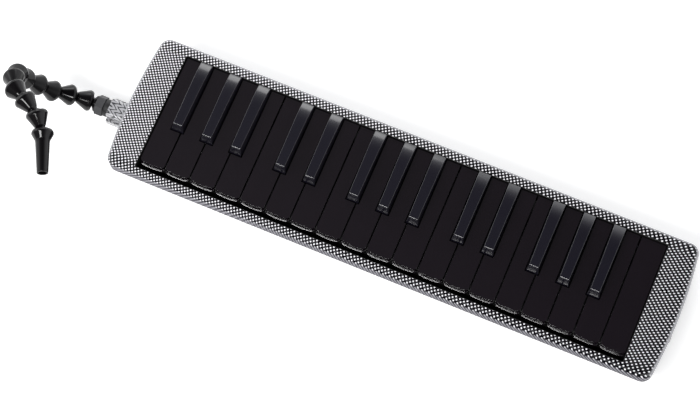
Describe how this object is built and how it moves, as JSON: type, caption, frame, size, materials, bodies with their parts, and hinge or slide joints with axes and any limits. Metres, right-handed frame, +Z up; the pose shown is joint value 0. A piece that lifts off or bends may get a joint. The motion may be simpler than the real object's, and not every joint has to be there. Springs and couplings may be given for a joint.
{
  "type": "melodica",
  "caption": "Keyed free-reed wind instrument: shallow patterned case, piano-style keys on one rod, reed plates below, and a jointed ball-and-socket mouth tube at the left end.",
  "frame": {"origin": "middle of the flat base that the case lies on", "axes": "+X along the keyboard towards the high notes, +Y from the player's side towards the back, +Z up out of the keys"},
  "size_m": [0.5139, 0.1478, 0.1085],
  "materials": {
    "shell": "gloss, fine black and white weave pattern",
    "lining": "fine matt",
    "natural": "satin",
    "sharp": "gloss",
    "tube": "gloss",
    "collar": "matt",
    "block": "fine matt",
    "brass": "satin",
    "steel": "bright drawn",
    "rubber": "matt",
    "felt": "pressed felt"
  },
  "bodies": {
    "case": {"top_cover": "shell", "bottom_cover": "lining", "inlet_pipe": "lining", "wind_tray": "block", "tray_gasket": "rubber", "reed_plate_low": "brass", "reed_plate_high": "brass", "reed_block": "block", "water_valve_spring": "steel", "valve_plate": "block", "key_rod": "steel", "spring_comb": "steel", "stop_felt": "felt"},
    "water_valve": {"water_valve_button": "lining"},
    "tube_plug": {"plug_collar": "collar", "hex_nut": "collar", "ball_adaptor": "tube"},
    "tube_segment_01": {"tube_segment_01": "tube"},
    "tube_segment_02": {"tube_segment_02": "tube"},
    "tube_segment_03": {"tube_segment_03": "tube"},
    "tube_segment_04": {"tube_segment_04": "tube"},
    "tube_segment_05": {"tube_segment_05": "tube"},
    "tube_segment_06": {"tube_segment_06": "tube"},
    "tube_segment_07": {"tube_segment_07": "tube"},
    "tube_segment_08": {"tube_segment_08": "tube"},
    "tube_segment_09": {"tube_segment_09": "tube"},
    "tube_segment_10": {"tube_segment_10": "tube"},
    "mouth_nozzle": {"mouth_nozzle": "tube"},
    "key_F3": {"key_F3": "natural"},
    "key_Fsharp3": {"key_Fsharp3": "sharp"},
    "key_G3": {"key_G3": "natural"},
    "key_Gsharp3": {"key_Gsharp3": "sharp"},
    "key_A3": {"key_A3": "natural"},
    "key_Asharp3": {"key_Asharp3": "sharp"},
    "key_B3": {"key_B3": "natural"},
    "key_C4": {"key_C4": "natural"},
    "key_Csharp4": {"key_Csharp4": "sharp"},
    "key_D4": {"key_D4": "natural"},
    "key_Dsharp4": {"key_Dsharp4": "sharp"},
    "key_E4": {"key_E4": "natural"},
    "key_F4": {"key_F4": "natural"},
    "key_Fsharp4": {"key_Fsharp4": "sharp"},
    "key_G4": {"key_G4": "natural"},
    "key_Gsharp4": {"key_Gsharp4": "sharp"},
    "key_A4": {"key_A4": "natural"},
    "key_Asharp4": {"key_Asharp4": "sharp"},
    "key_B4": {"key_B4": "natural"},
    "key_C5": {"key_C5": "natural"},
    "key_Csharp5": {"key_Csharp5": "sharp"},
    "key_D5": {"key_D5": "natural"},
    "key_Dsharp5": {"key_Dsharp5": "sharp"},
    "key_E5": {"key_E5": "natural"},
    "key_F5": {"key_F5": "natural"},
    "key_Fsharp5": {"key_Fsharp5": "sharp"},
    "key_G5": {"key_G5": "natural"},
    "key_Gsharp5": {"key_Gsharp5": "sharp"},
    "key_A5": {"key_A5": "natural"},
    "key_Asharp5": {"key_Asharp5": "sharp"},
    "key_B5": {"key_B5": "natural"},
    "key_C6": {"key_C6": "natural"}
  },
  "joints": [
    {"name": "water_valve_press", "type": "slide", "parent": "case", "child": "water_valve", "axis": [-1, 0, 0], "range_m": [0, 0.0018], "stiffness_N_per_m": 300, "springref_m": -0.004, "deforming": ["water_valve_spring"]},
    {"name": "plug_turn", "type": "hinge", "parent": "case", "child": "tube_plug", "pos_m": [-0.2293, -0.011, 0.0255], "axis": [1, 0, 0], "range_deg": [-90, 40]},
    {"name": "tube_bend_01", "type": "hinge", "parent": "tube_plug", "child": "tube_segment_01", "pos_m": [-0.2477, -0.011, 0.0255], "axis": [0, 0.8857, 0.4643], "range_deg": [-49.5, 4]},
    {"name": "tube_bend_02", "type": "hinge", "parent": "tube_segment_01", "child": "tube_segment_02", "pos_m": [-0.2608, -0.01355, 0.03036], "axis": [-0.0047, -0.8804, -0.4743], "range_deg": [-10.2, 43.3]},
    {"name": "tube_bend_03", "type": "hinge", "parent": "tube_segment_02", "child": "tube_segment_03", "pos_m": [-0.27179, -0.01776, 0.0383], "axis": [-0.4069, 0.91, -0.0797], "range_deg": [-45.9, 7.6]},
    {"name": "tube_bend_04", "type": "hinge", "parent": "tube_segment_03", "child": "tube_segment_04", "pos_m": [-0.27992, -0.02041, 0.04964], "axis": [0.0256, -0.9775, -0.2093], "range_deg": [-23.5, 30]},
    {"name": "tube_bend_05", "type": "hinge", "parent": "tube_segment_04", "child": "tube_segment_05", "pos_m": [-0.28738, -0.02312, 0.06141], "axis": [-0.0424, 0.9791, 0.199], "range_deg": [-50.9, 2.6]},
    {"name": "tube_bend_06", "type": "hinge", "parent": "tube_segment_05", "child": "tube_segment_06", "pos_m": [-0.28925, -0.026, 0.07519], "axis": [-0.6873, -0.6866, -0.2369], "range_deg": [-0.4, 53.1]},
    {"name": "tube_bend_07", "type": "hinge", "parent": "tube_segment_06", "child": "tube_segment_07", "pos_m": [-0.28643, -0.03298, 0.08723], "axis": [0.6304, 0.7265, 0.2734], "range_deg": [-53, 0.5]},
    {"name": "tube_bend_08", "type": "hinge", "parent": "tube_segment_07", "child": "tube_segment_08", "pos_m": [-0.27918, -0.04226, 0.09517], "axis": [0.0032, -0.6488, -0.7609], "range_deg": [-2.5, 51]},
    {"name": "tube_bend_09", "type": "hinge", "parent": "tube_segment_08", "child": "tube_segment_09", "pos_m": [-0.26756, -0.04844, 0.10049], "axis": [0.4827, 0.875, -0.0382], "range_deg": [-51.8, 1.7]},
    {"name": "tube_bend_10", "type": "hinge", "parent": "tube_segment_09", "child": "tube_segment_10", "pos_m": [-0.25516, -0.05531, 0.09975], "axis": [-0.0756, -0.2409, 0.9676], "range_deg": [-5.3, 48.2]},
    {"name": "nozzle_bend", "type": "hinge", "parent": "tube_segment_10", "child": "mouth_nozzle", "pos_m": [-0.24612, -0.06608, 0.09777], "axis": [-0.5626, -0.3333, -0.7566], "range_deg": [-45.2, 8.3]},
    {"name": "key_F3_press", "type": "hinge", "parent": "case", "child": "key_F3", "pos_m": [-0.1841, 0.038, 0.0305], "axis": [1, 0, 0], "range_deg": [0, 2.6], "stiffness_Nm_per_rad": 0.1, "springref_deg": -28.65, "deforming": ["spring_comb"]},
    {"name": "key_Fsharp3_press", "type": "hinge", "parent": "case", "child": "key_Fsharp3", "pos_m": [-0.1732, 0.038, 0.0305], "axis": [1, 0, 0], "range_deg": [0, 2.6], "stiffness_Nm_per_rad": 0.1, "springref_deg": -28.65},
    {"name": "key_G3_press", "type": "hinge", "parent": "case", "child": "key_G3", "pos_m": [-0.1615, 0.038, 0.0305], "axis": [1, 0, 0], "range_deg": [0, 2.6], "stiffness_Nm_per_rad": 0.1, "springref_deg": -28.65},
    {"name": "key_Gsharp3_press", "type": "hinge", "parent": "case", "child": "key_Gsharp3", "pos_m": [-0.1498, 0.038, 0.0305], "axis": [1, 0, 0], "range_deg": [0, 2.6], "stiffness_Nm_per_rad": 0.1, "springref_deg": -28.65},
    {"name": "key_A3_press", "type": "hinge", "parent": "case", "child": "key_A3", "pos_m": [-0.13815, 0.038, 0.0305], "axis": [1, 0, 0], "range_deg": [0, 2.6], "stiffness_Nm_per_rad": 0.1, "springref_deg": -28.65},
    {"name": "key_Asharp3_press", "type": "hinge", "parent": "case", "child": "key_Asharp3", "pos_m": [-0.1265, 0.038, 0.0305], "axis": [1, 0, 0], "range_deg": [0, 2.6], "stiffness_Nm_per_rad": 0.1, "springref_deg": -28.65},
    {"name": "key_B3_press", "type": "hinge", "parent": "case", "child": "key_B3", "pos_m": [-0.11575, 0.038, 0.0305], "axis": [1, 0, 0], "range_deg": [0, 2.6], "stiffness_Nm_per_rad": 0.1, "springref_deg": -28.65},
    {"name": "key_C4_press", "type": "hinge", "parent": "case", "child": "key_C4", "pos_m": [-0.10315, 0.038, 0.0305], "axis": [1, 0, 0], "range_deg": [0, 2.6], "stiffness_Nm_per_rad": 0.1, "springref_deg": -28.65},
    {"name": "key_Csharp4_press", "type": "hinge", "parent": "case", "child": "key_Csharp4", "pos_m": [-0.0913, 0.038, 0.0305], "axis": [1, 0, 0], "range_deg": [0, 2.6], "stiffness_Nm_per_rad": 0.1, "springref_deg": -28.65},
    {"name": "key_D4_press", "type": "hinge", "parent": "case", "child": "key_D4", "pos_m": [-0.07965, 0.038, 0.0305], "axis": [1, 0, 0], "range_deg": [0, 2.6], "stiffness_Nm_per_rad": 0.1, "springref_deg": -28.65},
    {"name": "key_Dsharp4_press", "type": "hinge", "parent": "case", "child": "key_Dsharp4", "pos_m": [-0.068, 0.038, 0.0305], "axis": [1, 0, 0], "range_deg": [0, 2.6], "stiffness_Nm_per_rad": 0.1, "springref_deg": -28.65},
    {"name": "key_E4_press", "type": "hinge", "parent": "case", "child": "key_E4", "pos_m": [-0.0565, 0.038, 0.0305], "axis": [1, 0, 0], "range_deg": [0, 2.6], "stiffness_Nm_per_rad": 0.1, "springref_deg": -28.65},
    {"name": "key_F4_press", "type": "hinge", "parent": "case", "child": "key_F4", "pos_m": [-0.0441, 0.038, 0.0305], "axis": [1, 0, 0], "range_deg": [0, 2.6], "stiffness_Nm_per_rad": 0.1, "springref_deg": -28.65},
    {"name": "key_Fsharp4_press", "type": "hinge", "parent": "case", "child": "key_Fsharp4", "pos_m": [-0.0332, 0.038, 0.0305], "axis": [1, 0, 0], "range_deg": [0, 2.6], "stiffness_Nm_per_rad": 0.1, "springref_deg": -28.65},
    {"name": "key_G4_press", "type": "hinge", "parent": "case", "child": "key_G4", "pos_m": [-0.0215, 0.038, 0.0305], "axis": [1, 0, 0], "range_deg": [0, 2.6], "stiffness_Nm_per_rad": 0.1, "springref_deg": -28.65},
    {"name": "key_Gsharp4_press", "type": "hinge", "parent": "case", "child": "key_Gsharp4", "pos_m": [-0.0098, 0.038, 0.0305], "axis": [1, 0, 0], "range_deg": [0, 2.6], "stiffness_Nm_per_rad": 0.1, "springref_deg": -28.65},
    {"name": "key_A4_press", "type": "hinge", "parent": "case", "child": "key_A4", "pos_m": [0.00185, 0.038, 0.0305], "axis": [1, 0, 0], "range_deg": [0, 2.6], "stiffness_Nm_per_rad": 0.1, "springref_deg": -28.65},
    {"name": "key_Asharp4_press", "type": "hinge", "parent": "case", "child": "key_Asharp4", "pos_m": [0.0135, 0.038, 0.0305], "axis": [1, 0, 0], "range_deg": [0, 2.6], "stiffness_Nm_per_rad": 0.1, "springref_deg": -28.65},
    {"name": "key_B4_press", "type": "hinge", "parent": "case", "child": "key_B4", "pos_m": [0.02425, 0.038, 0.0305], "axis": [1, 0, 0], "range_deg": [0, 2.6], "stiffness_Nm_per_rad": 0.1, "springref_deg": -28.65},
    {"name": "key_C5_press", "type": "hinge", "parent": "case", "child": "key_C5", "pos_m": [0.03685, 0.038, 0.0305], "axis": [1, 0, 0], "range_deg": [0, 2.6], "stiffness_Nm_per_rad": 0.1, "springref_deg": -28.65},
    {"name": "key_Csharp5_press", "type": "hinge", "parent": "case", "child": "key_Csharp5", "pos_m": [0.0487, 0.038, 0.0305], "axis": [1, 0, 0], "range_deg": [0, 2.6], "stiffness_Nm_per_rad": 0.1, "springref_deg": -28.65},
    {"name": "key_D5_press", "type": "hinge", "parent": "case", "child": "key_D5", "pos_m": [0.06035, 0.038, 0.0305], "axis": [1, 0, 0], "range_deg": [0, 2.6], "stiffness_Nm_per_rad": 0.1, "springref_deg": -28.65},
    {"name": "key_Dsharp5_press", "type": "hinge", "parent": "case", "child": "key_Dsharp5", "pos_m": [0.072, 0.038, 0.0305], "axis": [1, 0, 0], "range_deg": [0, 2.6], "stiffness_Nm_per_rad": 0.1, "springref_deg": -28.65},
    {"name": "key_E5_press", "type": "hinge", "parent": "case", "child": "key_E5", "pos_m": [0.0835, 0.038, 0.0305], "axis": [1, 0, 0], "range_deg": [0, 2.6], "stiffness_Nm_per_rad": 0.1, "springref_deg": -28.65},
    {"name": "key_F5_press", "type": "hinge", "parent": "case", "child": "key_F5", "pos_m": [0.0959, 0.038, 0.0305], "axis": [1, 0, 0], "range_deg": [0, 2.6], "stiffness_Nm_per_rad": 0.1, "springref_deg": -28.65},
    {"name": "key_Fsharp5_press", "type": "hinge", "parent": "case", "child": "key_Fsharp5", "pos_m": [0.1068, 0.038, 0.0305], "axis": [1, 0, 0], "range_deg": [0, 2.6], "stiffness_Nm_per_rad": 0.1, "springref_deg": -28.65},
    {"name": "key_G5_press", "type": "hinge", "parent": "case", "child": "key_G5", "pos_m": [0.1185, 0.038, 0.0305], "axis": [1, 0, 0], "range_deg": [0, 2.6], "stiffness_Nm_per_rad": 0.1, "springref_deg": -28.65},
    {"name": "key_Gsharp5_press", "type": "hinge", "parent": "case", "child": "key_Gsharp5", "pos_m": [0.1302, 0.038, 0.0305], "axis": [1, 0, 0], "range_deg": [0, 2.6], "stiffness_Nm_per_rad": 0.1, "springref_deg": -28.65},
    {"name": "key_A5_press", "type": "hinge", "parent": "case", "child": "key_A5", "pos_m": [0.14185, 0.038, 0.0305], "axis": [1, 0, 0], "range_deg": [0, 2.6], "stiffness_Nm_per_rad": 0.1, "springref_deg": -28.65},
    {"name": "key_Asharp5_press", "type": "hinge", "parent": "case", "child": "key_Asharp5", "pos_m": [0.1535, 0.038, 0.0305], "axis": [1, 0, 0], "range_deg": [0, 2.6], "stiffness_Nm_per_rad": 0.1, "springref_deg": -28.65},
    {"name": "key_B5_press", "type": "hinge", "parent": "case", "child": "key_B5", "pos_m": [0.16425, 0.038, 0.0305], "axis": [1, 0, 0], "range_deg": [0, 2.6], "stiffness_Nm_per_rad": 0.1, "springref_deg": -28.65},
    {"name": "key_C6_press", "type": "hinge", "parent": "case", "child": "key_C6", "pos_m": [0.18, 0.038, 0.0305], "axis": [1, 0, 0], "range_deg": [0, 2.6], "stiffness_Nm_per_rad": 0.1, "springref_deg": -28.65}
  ]
}
